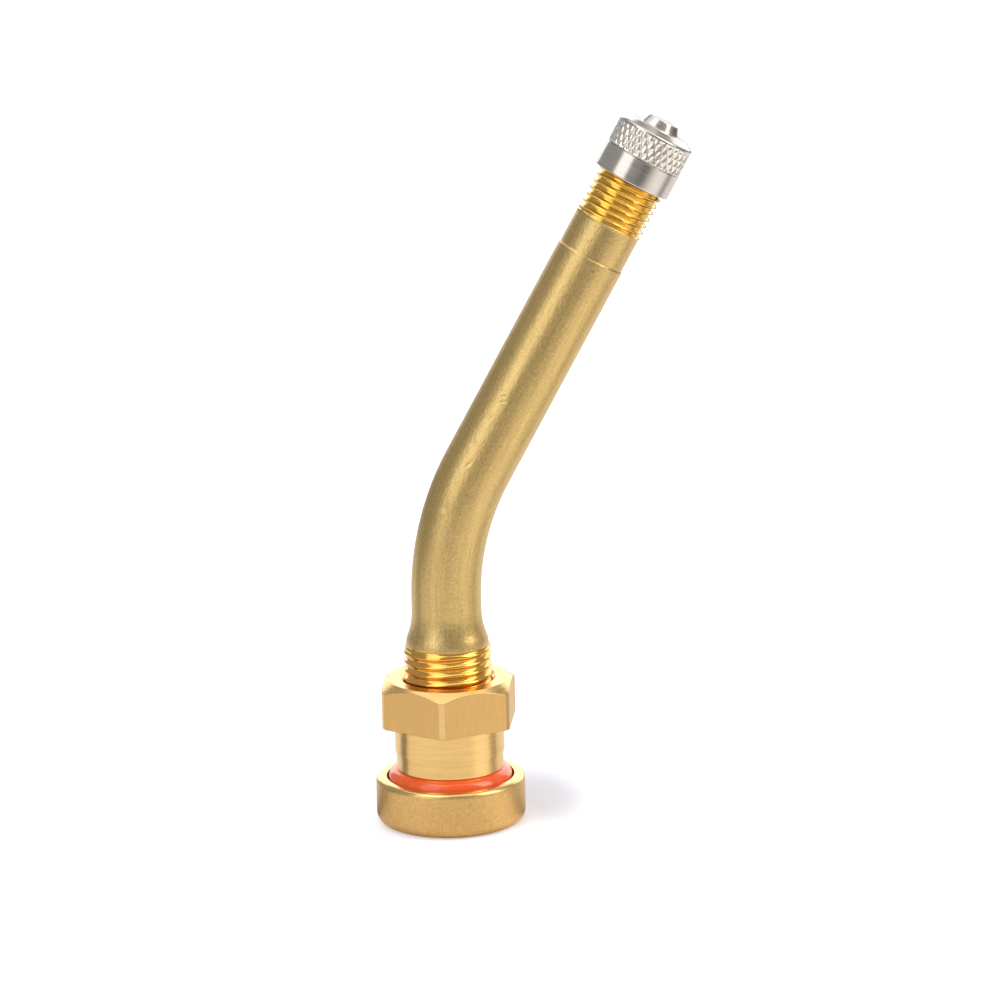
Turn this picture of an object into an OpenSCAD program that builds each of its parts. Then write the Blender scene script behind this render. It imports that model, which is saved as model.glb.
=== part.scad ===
// Bent clamp-in tyre valve: brass stem, O-ring, collar nut, dust cap and a sprung valve core.
// The origin is the centre of the base's underside. +Z is the rim hole's axis, and the tube bends towards +X.

/* [Base] */
// Diameter of the base flange
flange_d = 16.4; // [15.8:0.1:18]
// Height of the base flange
flange_h = 5.25; // [4.6:0.05:6]
// Rounding of the flange's lower edge
flange_low_round = 1.3; // [0.6:0.1:1.6]
// Rounding of the flange's upper edge
flange_top_round = 0.6; // [0.3:0.1:0.7]

/* [O-ring] */
// Thickness of the O-ring before it is squeezed
ring_section = 2.4; // [2.2:0.05:2.5]
// How much the nut squeezes the O-ring
ring_squeeze = 0.08; // [0.04:0.02:0.2]
// Height of the squeezed O-ring above the flange
ring_proud = 0.87; // [0.5:0.01:1]
// Gap between the O-ring and the shank
ring_fit = 0.02; // [0.01:0.01:0.05]
// Gap between the O-ring and the groove's outer wall
groove_room = 0.18; // [0.1:0.02:0.24]

/* [Rim shank] */
// Outer diameter of the rim thread
rim_thread_d = 9.6; // [9.2:0.1:9.8]
// Depth of the rim thread, and of the relief under it
rim_thread_depth = 0.4; // [0.3:0.05:0.5]
// Height of the rim thread's upper end above the base's underside
rim_thread_top = 20; // [19:0.1:22]
// Distance between the turns of the rim thread
rim_pitch = 1; // [0.8:0.05:1.25]
// Height of the relief above the flange
relief_h = 1.2; // [0.9:0.1:2]
// Height of the flare between thread and tube
flare_h = 4; // [2:0.1:6]
// Chamfer at the ends of the rim thread
rim_thread_chamfer = 0.25; // [0.1:0.05:0.3]

/* [Tube] */
// Outer diameter of the tube
tube_d = 7.65; // [7.5:0.05:8]
// Straight length between the flare and the bend
lower_run = 1.5; // [1:0.1:6]
// Radius of the bend, at the tube's centre line
bend_radius = 28.7; // [22:0.1:40]
// Angle of the bend
bend_angle = 30; // [10:1:60]
// Straight length between the bend and the neck
upper_run = 26.1; // [20:0.05:40]
// Diameter of the air bore
air_bore_d = 3.2; // [2.4:0.1:3.6]
// Chamfer at the mouth of the air bore in the base
air_mouth_chamfer = 0.4; // [0.2:0.1:0.8]

/* [Tip] */
// Diameter of the neck under the cap thread
neck_d = 7.45; // [7.2:0.05:7.5]
// Length of the neck
neck_run = 4; // [2:0.1:8]
// Outer diameter of the cap thread
tip_thread_d = 7.65; // [7.55:0.05:7.8]
// Depth of the cap thread
tip_thread_depth = 0.5; // [0.3:0.05:0.55]
// Distance between the turns of the cap thread
tip_pitch = 0.79375; // [0.7:0.00125:1]
// Length of the cap thread
tip_thread_run = 9.4; // [8:0.1:12]
// Chamfer at the tip
tip_chamfer = 0.35; // [0.2:0.05:0.5]

/* [Threads] */
// Width of the flats on the ridges and in the grooves of both threads
thread_flat = 0.12; // [0.05:0.01:0.2]

/* [Collar nut] */
// Width across the hexagon's flats
nut_across = 14; // [13:0.5:17]
// Height of the hexagon
hex_h = 5; // [4:0.1:7]
// Diameter of the circle that trims the hexagon's corners
hex_corner_d = 15.8; // [15.2:0.1:16]
// Diameter of the flat on top of the hexagon
hex_top_d = 13.2; // [12:0.1:13.6]
// Angle of the chamfer on top of the hexagon
hex_chamfer_angle = 35; // [25:1:40]
// Turn of the hexagon about its axis
hex_turn = 13; // [0:1:60]
// Diameter of the collar
collar_d = 12.05; // [11.6:0.05:13]
// Height of the collar
collar_h = 5.25; // [3:0.05:8]
// Height of the narrower lower part of the collar
collar_foot_h = 1.7; // [1:0.1:2.5]
// Step in radius at the collar's lower part
collar_step = 0.14; // [0.05:0.01:0.2]
// Rounding of the collar's lower edge
collar_round = 0.3; // [0.1:0.05:0.4]
// Running clearance of the nut on the rim thread, per side
nut_fit = 0.06; // [0.04:0.01:0.1]
// Countersink at both ends of the nut's bore
nut_countersink = 0.4; // [0.2:0.05:0.6]

/* [Cap] */
// Diameter of the cap
cap_d = 8.7; // [8.6:0.05:10]
// Height of the cap without its nub
cap_h = 6.5; // [5.6:0.1:8]
// Height of the smooth skirt
skirt_h = 2.85; // [2:0.05:3.6]
// Depth of the groove between skirt and knurled band
band_groove = 0.12; // [0.05:0.01:0.15]
// Width of that groove
band_groove_w = 0.24; // [0.1:0.02:0.4]
// Width of the chamfer round the cap's top
cap_chamfer_w = 1.1; // [0.4:0.05:1.6]
// Height of that chamfer
cap_chamfer_h = 0.6; // [0.3:0.05:1]
// Rounding of the skirt's lower edge
skirt_round = 0.2; // [0.1:0.05:0.2]
// Thickness of the cap's top
cap_roof = 1.3; // [0.9:0.05:1.6]
// Diameter of the nub at its foot
nub_foot_d = 4.4; // [3:0.1:5]
// Diameter of the nub at its top
nub_top_d = 3.45; // [2:0.05:4]
// Height of the nub
nub_h = 1; // [0.4:0.05:1.5]
// Running clearance of the cap on its thread, per side
cap_fit = 0.05; // [0.03:0.01:0.08]
// Thickness of the gasket in the cap
gasket_h = 1; // [0.6:0.05:1.4]
// Gap between the gasket and the cap's wall
gasket_fit = 0.02; // [0.01:0.01:0.04]

/* [Valve core] */
// Diameter of the threaded hole for the core
core_hole_d = 5.2; // [5:0.05:5.4]
// Depth of that hole
core_hole_depth = 6.6; // [6:0.1:8]
// Height of the conical seat under it
core_seat_h = 1.4; // [1.2:0.1:2]
// Diameter of the chamber under the seat
core_chamber_d = 3.9; // [3.7:0.05:4.2]
// Depth of the chamber's floor under the tip
core_chamber_depth = 18; // [17.4:0.1:22]
// Clearance of the plug in its hole, per side
plug_fit = 0.05; // [0.03:0.01:0.1]
// Depth of the plug's shoulder under the tip
plug_depth = 1.6; // [1.4:0.1:2]
// Bore of the plug
plug_bore_d = 2.5; // [2.4:0.05:2.8]
// Height of the plug's key above its shoulder
key_h = 1; // [0.6:0.1:1.2]
// Width of the plug's key
key_w = 2.9; // [2.6:0.1:3.2]
// Diameter of the pin's hole through the key
key_hole_d = 1.9; // [1.8:0.05:2.1]
// Thickness of the key's roof over the plug's bore
key_roof = 0.6; // [0.4:0.1:0.9]
// Outer diameter of the barrel's head
barrel_head_d = 4.4; // [4:0.1:4.6]
// Height of the barrel's head
barrel_head_h = 0.7; // [0.5:0.1:1]
// Outer diameter of the barrel's waist, inside its gasket
waist_d = 3.3; // [3.2:0.05:3.4]
// Height of the waist
waist_h = 2.2; // [2.1:0.1:2.6]
// Outer diameter of the barrel's lower part
barrel_d = 3.6; // [3.5:0.05:3.65]
// Height of the barrel's lower part
barrel_foot_h = 4.7; // [4.4:0.1:5]
// Bore of the barrel, around the spring
barrel_bore_d = 2.5; // [2.45:0.05:2.6]
// Thickness of the barrel's floor
barrel_floor = 1; // [0.8:0.1:1.2]
// Diameter of the air hole in that floor
floor_hole_d = 1.8; // [1.6:0.1:1.9]
// Clearance of the barrel gasket in the chamber, per side
seat_fit = 0.06; // [0.04:0.01:0.1]
// How far the barrel gasket reaches above the seat
seat_over = 0.3; // [0.2:0.05:0.4]
// Height of the seat's upper part that the gasket leaves free
seat_free = 0.2; // [0.1:0.05:0.4]

/* [Core pin] */
// Diameter of the pin
pin_d = 1; // [0.9:0.05:1.1]
// Depth of the pin's top under the tip
pin_depth = 0.4; // [0.2:0.05:0.8]
// Diameter of the pin's head
pin_head_d = 1.6; // [1.4:0.05:1.7]
// Height of the pin's head
pin_head_h = 0.5; // [0.3:0.05:0.8]
// Diameter of the pin's spring collar
pin_collar_d = 2.2; // [2.1:0.05:2.3]
// Thickness of that collar
pin_collar_h = 0.4; // [0.3:0.05:0.6]
// Depth of that collar's top under the barrel's top
pin_collar_depth = 1; // [0.6:0.1:1.4]
// Outer diameter of the cup
cup_d = 3.3; // [3.2:0.05:3.5]
// Wall and floor of the cup
cup_wall = 0.3; // [0.2:0.05:0.4]
// Thickness of the cup's seal
seal_h = 0.9; // [0.7:0.05:1.2]
// How far the seal stands out of the cup
seal_proud = 0.3; // [0.2:0.05:0.4]
// Diameter of the rivet head under the cup
rivet_d = 1.6; // [1.4:0.05:2]
// Height of the rivet head
rivet_h = 0.4; // [0.3:0.05:0.6]

/* [Core spring] */
// Thickness of the spring's wire
wire_d = 0.32; // [0.25:0.01:0.35]
// Gap between the spring and the barrel's bore
spring_fit = 0.1; // [0.05:0.01:0.12]
// Turns of the spring, with its closed ends
spring_turns = 8; // [6:1:9]

/* [Hidden] */
$fn = 64;
bit = 0.01;
bend_lap = 0.5;
over = 1;

// Heights on the base's axis
ring_h = ring_section - ring_squeeze;
groove_depth = ring_h - ring_proud;
groove_floor_z = flange_h - groove_depth;
nut_z = flange_h + ring_proud;
rim_thread_foot = flange_h + relief_h + rim_thread_depth;
flare_top_z = rim_thread_top + flare_h;
bend_z = flare_top_z + lower_run;

// Radii on the base's axis
relief_r = rim_thread_d / 2 - rim_thread_depth;
ring_in_r = relief_r + ring_fit;
ring_mid_r = ring_in_r + ring_section / 2;
groove_r = ring_in_r + ring_section + groove_room;
tube_r = tube_d / 2;
flare_foot_r = rim_thread_d / 2 - rim_thread_chamfer;
flare_step = flare_foot_r - tube_r;
flare_mid_r = tube_r + flare_step / 2;
flare_mid_z = rim_thread_top + flare_h / 2;
flare_round = (pow(flare_h, 2) + pow(flare_step, 2)) / (4 * flare_step);

// Lengths along the upper straight, counted from the bend's end
tip_run = upper_run + neck_run + tip_thread_run;
neck_step = (tube_d - neck_d) / 2;

// Nut and cap
nut_bore_d = rim_thread_d + 2 * nut_fit;
hex_slope = tan(hex_chamfer_angle);
cap_bore_d = tip_thread_d + 2 * cap_fit;
cap_foot_z = gasket_h + gasket_fit + cap_roof - cap_h;

// Depths of the core's pieces, counted down from the tip
barrel_gasket_top = core_hole_depth - seat_over;
barrel_top = barrel_gasket_top - barrel_head_h;
waist_foot = barrel_gasket_top + waist_h;
barrel_foot = waist_foot + barrel_foot_h;
spring_floor = barrel_foot - barrel_floor;
spring_roof = barrel_top + pin_collar_depth + pin_collar_h;
cup_floor_top = barrel_foot + seal_h;
cup_foot = cup_floor_top + cup_wall;
seat_slope = (core_hole_d - core_chamber_d) / 2 / core_seat_h;

// Spring
spring_r = barrel_bore_d / 2 - spring_fit - wire_d / 2;
wire_sides = 8;
turn_steps = 16;

// Place children on the upper straight, with z = 0 at the bend's end
module at_bend_end() {
  translate([bend_radius * (1 - cos(bend_angle)), 0, bend_z + bend_radius * sin(bend_angle)])
    rotate([0, bend_angle, 0])
      children();
}

// Place children at the tip, with z = 0 on its end face and +z outwards
module at_tip() {
  at_bend_end()
    translate([0, 0, tip_run])
      children();
}

// Half section of a round disc with rounded lower and upper edges
module disc_section(r, h, low_round, top_round) {
  square([r - max(low_round, top_round), h]);
  translate([0, low_round])
    square([r, h - low_round - top_round]);
  translate([r - low_round, low_round])
    intersection() {
      circle(low_round);
      translate([-r, -low_round])
        square([2 * r, low_round]);
    }
  translate([r - top_round, h - top_round])
    intersection() {
      circle(top_round);
      translate([-r, 0])
        square([2 * r, top_round]);
    }
  square_between(r - max(low_round, top_round), r - low_round, 0, low_round);
  square_between(r - max(low_round, top_round), r - top_round, h - top_round, h);
}

// Rectangle between two radii and two heights, if it has any width
module square_between(r0, r1, z0, z1) {
  if (r1 > r0)
    translate([r0, z0])
      square([r1 - r0, z1 - z0]);
}

// Ring between two radii and two heights
module ring(r_in, r_out, z0, z1) {
  translate([0, 0, z0])
    difference() {
      cylinder(r = r_out, h = z1 - z0);
      translate([0, 0, -over])
        cylinder(r = r_in, h = z1 - z0 + 2 * over);
    }
}

// Tube or bore along the bend, a hair thinner than the straights so that its end laps into the upper one
module bend(d) {
  translate([bend_radius, 0, bend_z])
    rotate([90, 0, 180])
      rotate_extrude(angle = bend_angle + bend_lap)
        translate([bend_radius, 0])
          circle(d = d - 2 * bit);
}

// Flange, shank and lower tube, as turned
module stem_lower() {
  difference() {
    rotate_extrude()
      disc_section(flange_d / 2, flange_h, flange_low_round, flange_top_round);
    ring(relief_r, groove_r, groove_floor_z, flange_h + over);
  }
  rotate_extrude()
    difference() {
      polygon([
        [0, groove_floor_z],
        [relief_r, groove_floor_z],
        [relief_r, rim_thread_foot - rim_thread_depth],
        [rim_thread_d / 2, rim_thread_foot],
        [rim_thread_d / 2, rim_thread_top - rim_thread_chamfer],
        [flare_foot_r, rim_thread_top],
        [flare_foot_r, flare_mid_z],
        [flare_mid_r, flare_mid_z],
        [flare_mid_r, flare_top_z],
        [tube_r, flare_top_z],
        [tube_r, bend_z],
        [0, bend_z]
      ]);
      thread_grooves(
        rim_thread_d / 2, rim_thread_depth, rim_pitch,
        rim_thread_foot, rim_thread_top - rim_thread_chamfer
      );
      // the flare's rounded shoulder and the hollow above it
      difference() {
        square_between(flare_mid_r, flare_foot_r + over, rim_thread_top, flare_mid_z);
        translate([flare_foot_r - flare_round, rim_thread_top])
          circle(flare_round);
      }
      translate([tube_r + flare_round, flare_top_z])
        circle(flare_round);
    }
}

// Ring grooves for a thread's turns, cut into radius r between two heights
module thread_grooves(r, depth, pitch, low, high) {
  mouth = (pitch - thread_flat) / 2;
  foot = thread_flat / 2;
  for (turn = [0.5 : floor((high - low) / pitch)])
    translate([r, low + turn * pitch])
      polygon([[over, -mouth], [0, -mouth], [-depth, -foot], [-depth, foot], [0, mouth], [over, mouth]]);
}

// Upper tube, neck and threaded tip, as turned
module stem_upper() {
  at_bend_end()
    rotate_extrude()
      difference() {
        polygon([
          [0, 0],
          [tube_r, 0],
          [tube_r, upper_run - neck_step],
          [neck_d / 2, upper_run],
          [neck_d / 2, upper_run + neck_run],
          [tip_thread_d / 2, upper_run + neck_run + (tip_thread_d - neck_d) / 2],
          [tip_thread_d / 2, tip_run - tip_chamfer],
          [tip_thread_d / 2 - tip_chamfer, tip_run],
          [0, tip_run]
        ]);
        thread_grooves(
          tip_thread_d / 2, tip_thread_depth, tip_pitch,
          upper_run + neck_run, tip_run - tip_chamfer
        );
      }
}

// Air bore from the base to the core's chamber
module air_way() {
  mouth_r = air_bore_d / 2 + air_mouth_chamfer;
  translate([0, 0, -over])
    cylinder(d = air_bore_d, h = bend_z + over);
  translate([0, 0, -bit])
    cylinder(r1 = mouth_r + bit, r2 = air_bore_d / 2, h = air_mouth_chamfer + bit);
  bend(air_bore_d);
  at_bend_end()
    cylinder(d = air_bore_d, h = tip_run - core_chamber_depth + over);
}

// Stepped hole for the valve core, from the tip down
module core_way() {
  floor_cone = (core_chamber_d - air_bore_d) / 2;
  at_tip()
    rotate_extrude()
      polygon([
        [0, over],
        [core_hole_d / 2, over],
        [core_hole_d / 2, -core_hole_depth],
        [core_chamber_d / 2, -core_hole_depth - core_seat_h],
        [core_chamber_d / 2, -core_chamber_depth],
        [air_bore_d / 2, -core_chamber_depth - floor_cone],
        [0, -core_chamber_depth - floor_cone]
      ]);
}

module valve_stem() {
  color([0.76, 0.63, 0.38])
    difference() {
      union() {
        stem_lower();
        bend(tube_d);
        stem_upper();
      }
      air_way();
      core_way();
    }
}

module base_o_ring() {
  color([0.93, 0.30, 0.12])
    translate([0, 0, groove_floor_z])
      rotate_extrude()
        intersection() {
          translate([ring_mid_r, ring_h / 2])
            circle(d = ring_section);
          translate([ring_mid_r - ring_section, 0])
            square([2 * ring_section, ring_h]);
        }
}

// Hexagon with trimmed corners and a chamfered top, standing on z = 0
module nut_hexagon() {
  cone_h = (hex_corner_d - hex_top_d) / 2 * hex_slope;
  intersection() {
    rotate([0, 0, hex_turn])
      cylinder(d = nut_across / cos(30), h = hex_h, $fn = 6);
    union() {
      cylinder(d = hex_corner_d, h = hex_h - cone_h);
      translate([0, 0, hex_h - cone_h])
        cylinder(d1 = hex_corner_d, d2 = hex_top_d, h = cone_h);
    }
  }
}

module collar_nut() {
  nut_h = collar_h + hex_h;
  mouth_r = nut_bore_d / 2 + nut_countersink;
  foot_r = collar_d / 2 - collar_step;
  color([0.85, 0.69, 0.42])
    translate([0, 0, nut_z])
      difference() {
        union() {
          rotate_extrude()
            disc_section(foot_r, collar_h + bit, collar_round, bit);
          translate([0, 0, collar_foot_h])
            cylinder(r1 = foot_r, r2 = collar_d / 2, h = collar_step);
          translate([0, 0, collar_foot_h + collar_step])
            cylinder(d = collar_d, h = collar_h - collar_foot_h - collar_step);
          translate([0, 0, collar_h])
            nut_hexagon();
        }
        translate([0, 0, -over])
          cylinder(d = nut_bore_d, h = nut_h + 2 * over);
        translate([0, 0, -bit])
          cylinder(r1 = mouth_r, r2 = nut_bore_d / 2, h = nut_countersink);
        translate([0, 0, nut_h - nut_countersink + bit])
          cylinder(r1 = nut_bore_d / 2, r2 = mouth_r, h = nut_countersink);
      }
}

module valve_cap() {
  color([0.78, 0.76, 0.72])
    at_tip()
      translate([0, 0, cap_foot_z])
        difference() {
          union() {
            rotate_extrude()
              disc_section(cap_d / 2, cap_h - cap_chamfer_h, skirt_round, bit);
            translate([0, 0, cap_h - cap_chamfer_h - bit])
              cylinder(r1 = cap_d / 2 - bit, r2 = cap_d / 2 - cap_chamfer_w, h = cap_chamfer_h + bit);
            translate([0, 0, cap_h - bit])
              cylinder(d1 = nub_foot_d, d2 = nub_top_d, h = nub_h + bit);
          }
          translate([0, 0, -over])
            cylinder(d = cap_bore_d, h = cap_h - cap_roof + over);
          ring(cap_d / 2 - band_groove, cap_d, skirt_h - band_groove_w / 2, skirt_h + band_groove_w / 2);
        }
}

module cap_gasket() {
  color([0.15, 0.15, 0.15])
    at_tip()
      cylinder(d = cap_bore_d - 2 * gasket_fit, h = gasket_h);
}

module core_plug() {
  plug_d = core_hole_d - 2 * plug_fit;
  color([0.80, 0.66, 0.38])
    at_tip()
      difference() {
        union() {
          translate([0, 0, -barrel_top])
            cylinder(d = plug_d, h = barrel_top - plug_depth);
          intersection() {
            translate([0, 0, -plug_depth - bit])
              cylinder(d = plug_d, h = key_h + bit);
            translate([-plug_d, -key_w / 2, -plug_depth - bit])
              cube([2 * plug_d, key_w, key_h + bit]);
          }
        }
        translate([0, 0, -barrel_top - over])
          cylinder(d = plug_bore_d, h = barrel_top - plug_depth + key_h - key_roof + over);
        translate([0, 0, -barrel_top])
          cylinder(d = key_hole_d, h = barrel_top + over);
      }
}

module core_barrel() {
  color([0.78, 0.64, 0.36])
    at_tip()
      rotate_extrude()
        polygon([
          [barrel_bore_d / 2, -barrel_top],
          [barrel_head_d / 2, -barrel_top],
          [barrel_head_d / 2, -barrel_gasket_top],
          [waist_d / 2, -barrel_gasket_top],
          [waist_d / 2, -waist_foot],
          [barrel_d / 2, -waist_foot],
          [barrel_d / 2, -barrel_foot],
          [floor_hole_d / 2, -barrel_foot],
          [floor_hole_d / 2, -spring_floor],
          [barrel_bore_d / 2, -spring_floor]
        ]);
}

module core_barrel_gasket() {
  chamber_r = core_chamber_d / 2 - seat_fit;
  cone_top = core_hole_depth + seat_free;
  cone_top_r = core_hole_d / 2 - seat_slope * seat_free;
  color([0.20, 0.20, 0.22])
    at_tip()
      rotate_extrude()
        polygon([
          [waist_d / 2, -barrel_gasket_top],
          [barrel_head_d / 2, -barrel_gasket_top],
          [cone_top_r, -cone_top],
          [core_chamber_d / 2, -core_hole_depth - core_seat_h],
          [chamber_r, -core_hole_depth - core_seat_h],
          [chamber_r, -waist_foot],
          [waist_d / 2, -waist_foot]
        ]);
}

module core_pin() {
  collar_top = barrel_top + pin_collar_depth;
  color([0.82, 0.68, 0.42])
    at_tip() {
      translate([0, 0, -cup_foot - bit])
        cylinder(d = pin_d, h = cup_foot - pin_depth + bit);
      translate([0, 0, -pin_depth - pin_head_h])
        cylinder(d = pin_head_d, h = pin_head_h);
      translate([0, 0, -collar_top - pin_collar_h])
        cylinder(d = pin_collar_d, h = pin_collar_h);
      translate([0, 0, -cup_foot - rivet_h])
        cylinder(d = rivet_d, h = rivet_h);
    }
}

module core_cup() {
  color([0.80, 0.66, 0.40])
    at_tip() {
      ring(pin_d / 2, cup_d / 2, -cup_foot, -cup_floor_top);
      ring(cup_d / 2 - cup_wall, cup_d / 2, -cup_floor_top - bit, -barrel_foot - seal_proud);
    }
}

module core_cup_seal() {
  color([0.18, 0.18, 0.20])
    at_tip()
      ring(pin_d / 2, cup_d / 2 - cup_wall, -cup_floor_top, -barrel_foot);
}

// Share of the spring's height at a share of its turns: one closed turn at each end
function spring_rise(share) =
  let (turn = share * spring_turns,
       closed = wire_d * 1.02,
       height = spring_floor - spring_roof - wire_d,
       open = (height - 2 * closed) / (spring_turns - 2))
  turn < 1 ? turn * closed
  : turn > spring_turns - 1 ? height - (spring_turns - turn) * closed
  : closed + (turn - 1) * open;

// Points of the wire's outline at one step along the spring
function wire_ring(step, steps) =
  let (share = step / steps,
       turn = 360 * spring_turns * share,
       z = -spring_floor + wire_d / 2 + spring_rise(share))
  [for (side = [0 : wire_sides - 1])
    let (a = 360 * side / wire_sides,
         r = spring_r + wire_d / 2 * cos(a))
    [r * cos(turn), r * sin(turn), z + wire_d / 2 * sin(a)]];

module core_spring() {
  steps = spring_turns * turn_steps;
  points = [for (step = [0 : steps]) each wire_ring(step, steps)];
  foot = [for (side = [0 : wire_sides - 1]) side];
  top = [for (side = [wire_sides - 1 : -1 : 0]) steps * wire_sides + side];
  sides = [for (step = [0 : steps - 1], side = [0 : wire_sides - 1])
    let (next = (side + 1) % wire_sides, low = step * wire_sides, high = low + wire_sides)
    [low + side, high + side, high + next, low + next]];
  color([0.70, 0.70, 0.72])
    at_tip()
      polyhedron(points, concat([foot, top], sides));
}

valve_stem();
base_o_ring();
collar_nut();
valve_cap();
cap_gasket();
core_plug();
core_barrel();
core_barrel_gasket();
core_pin();
core_cup();
core_cup_seal();
core_spring();
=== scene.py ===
"""A bent brass tyre valve: skins with true threads and knurl, finishes, a studio and a camera."""
import math
import random

import bmesh
import bpy
import numpy as np
from mathutils import Matrix, Vector


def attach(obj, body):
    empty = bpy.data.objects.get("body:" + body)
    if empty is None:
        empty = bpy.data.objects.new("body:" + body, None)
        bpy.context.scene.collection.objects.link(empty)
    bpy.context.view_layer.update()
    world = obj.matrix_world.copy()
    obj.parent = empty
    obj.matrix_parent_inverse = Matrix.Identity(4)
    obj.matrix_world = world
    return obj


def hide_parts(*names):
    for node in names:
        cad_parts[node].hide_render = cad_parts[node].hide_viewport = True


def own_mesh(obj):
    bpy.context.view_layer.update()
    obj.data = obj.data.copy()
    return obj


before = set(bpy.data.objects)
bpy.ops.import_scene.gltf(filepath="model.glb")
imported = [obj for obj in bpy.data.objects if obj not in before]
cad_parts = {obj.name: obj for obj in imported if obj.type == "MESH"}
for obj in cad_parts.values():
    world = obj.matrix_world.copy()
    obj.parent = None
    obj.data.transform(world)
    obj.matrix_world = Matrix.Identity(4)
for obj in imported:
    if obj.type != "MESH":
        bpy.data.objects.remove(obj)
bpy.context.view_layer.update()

MM = 0.001

# Stem in millimetres, with the solids' sizes, as for the next four groups
FLANGE_R = 8.2
FLANGE_H = 5.25
FLANGE_LOW_ROUND = 1.3
FLANGE_TOP_ROUND = 0.6
RIM_THREAD_R = 4.8
RIM_THREAD_FOOT_Z = 6.85
RIM_THREAD_TOP_Z = 20.0
RIM_THREAD_CUT = 0.4
RIM_THREAD_CHAMFER = 0.25
RIM_PITCH = 1.0
RELIEF_R = RIM_THREAD_R - RIM_THREAD_CUT
FLARE_FOOT_R = RIM_THREAD_R - RIM_THREAD_CHAMFER
FLARE_H = 4.0
FLARE_TOP_Z = RIM_THREAD_TOP_Z + FLARE_H
TUBE_R = 3.825
LOWER_RUN = 1.5
BEND_Z = FLARE_TOP_Z + LOWER_RUN
BEND_R = 28.7
BEND_ANGLE = math.radians(30)
UPPER_RUN = 26.1
NECK_R = 3.725
NECK_RUN = 4.0
TIP_THREAD_R = 3.825
TIP_THREAD_RUN = 9.4
TIP_PITCH = 0.79375
TIP_DEPTH = 0.5
AIR_R = 1.6
AIR_CHAMFER = 0.4
CORE_HOLE_R = 2.6
CORE_HOLE_DEPTH = 6.6
CORE_SEAT_H = 1.4
CORE_CHAMBER_R = 1.95
CORE_CHAMBER_DEPTH = 18.0

# O-ring and its groove
RING_SECTION = 2.4
RING_H = 2.32
RING_PROUD = 0.87
RING_FIT = 0.02
GROOVE_ROOM = 0.18
RING_IN_R = RELIEF_R + RING_FIT
RING_MID_R = RING_IN_R + RING_SECTION / 2
GROOVE_R = RING_IN_R + RING_SECTION + GROOVE_ROOM
GROOVE_FLOOR_Z = FLANGE_H + RING_PROUD - RING_H

# Collar nut
NUT_Z = FLANGE_H + RING_PROUD
NUT_ACROSS = 14.0
NUT_CORNER_R = 7.9
NUT_TURN = math.radians(13)
NUT_TOP_R = 6.6
NUT_SLOPE = math.tan(math.radians(35))
NUT_FIT = 0.06
NUT_BORE_R = RIM_THREAD_R + NUT_FIT
NUT_COUNTERSINK = 0.4
COLLAR_R = 6.025
COLLAR_STEP = 0.14
COLLAR_FOOT_R = COLLAR_R - COLLAR_STEP
COLLAR_FOOT_H = 1.7
COLLAR_H = 5.25
HEX_H = 5.0

# Cap
CAP_R = 4.35
CAP_H = 6.5
CAP_ROOF = 1.3
CAP_ROOF_Z = CAP_H - CAP_ROOF
CAP_CHAMFER_W = 1.1
CAP_CHAMFER_H = 0.6
CAP_FIT = 0.05
CAP_BORE_R = TIP_THREAD_R + CAP_FIT
SKIRT_H = 2.85
NUB_FOOT_R = 2.2
NUB_TOP_R = 1.725
NUB_H = 1.0
GASKET_H = 1.0
GASKET_FIT = 0.02

# Core spring, its ends by their depth under the stem's tip
SPRING_FLOOR = 12.2
SPRING_ROOF = 7.0
SPRING_R = 0.99
SPRING_TURNS = 8
WIRE = 0.32

# Lengths along the stem's centre line, counted from the base's underside
BEND_END = BEND_Z + BEND_R * BEND_ANGLE
NECK_START = BEND_END + UPPER_RUN
TIP_THREAD_START = NECK_START + NECK_RUN
TIP = TIP_THREAD_START + TIP_THREAD_RUN
CAP_FOOT = TIP + GASKET_H + GASKET_FIT + CAP_ROOF - CAP_H

# Height of the spring's end turns
CLOSED_TURN = 1.02 * WIRE

# Thread forms: flats as shares of the pitch, then lengths over which the groove deepens and runs out
RIM_DEPTH = 0.36
RIM_FORM = {"crest": 0.12, "root": 0.18, "run_in": 0.4, "run_out": 0.5, "chamfer": RIM_THREAD_CHAMFER}
TIP_FORM = {"crest": 0.1, "root": 0.1, "run_in": 0.35, "run_out": 0.5, "chamfer": 0.0}

# Small edges of the skins, finer than the solids'
GROOVE_EDGE_ROUND = 0.12
GROOVE_FLOOR_ROUND = 0.15
SHOULDER_SHARE = 0.3
NECK_STEP = (-0.28, -0.17, 0.03, 0.2)
NECK_STEP_ROUND = 0.05
TIP_EDGE_W = 0.4
TIP_EDGE_ROUND = 0.08
CORE_MOUTH_CHAMFER = 0.15
CORE_MOUTH_ROUND = 0.05
COLLAR_FOOT_ROUND = 0.14
COLLAR_SLOPE = (-0.25, 0.4)
COLLAR_SLOPE_ROUND = 0.6
HEX_LOW_ROUND = 0.12
HEX_TOP_ROUND = 0.1
NUT_TOP_ROUND = 0.15
COUNTERSINK_ROUND = 0.08
CAP_MOUTH_W = 0.12
CAP_MOUTH_H = 0.2
CAP_MOUTH_ROUND = 0.05
SKIRT_ROUND = 0.18
BAND_GROOVE = 0.1
BAND_GROOVE_END = 0.02
BAND_GROOVE_ROUND = 0.03
BAND_TAPER = 0.02
CAP_SHOULDER_ROUND = 0.32
CAP_CROWN_ROUND = 0.4
NUB_FOOT_ROUND = 0.08
NUB_TOP_ROUND = 0.16
ROOF_CHAMFER = 0.1

# Knurl
KNURL_COUNT = 31
KNURL_ANGLE = math.radians(30)
KNURL_DEPTH = 0.15
KNURL_SHARPNESS = 2.2
KNURL_FADE = 0.12
KNURL_MARGIN = 0.28
KNURL_LOW = SKIRT_H + BAND_GROOVE
KNURL_HIGH = CAP_H - CAP_CHAMFER_H - KNURL_MARGIN

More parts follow.
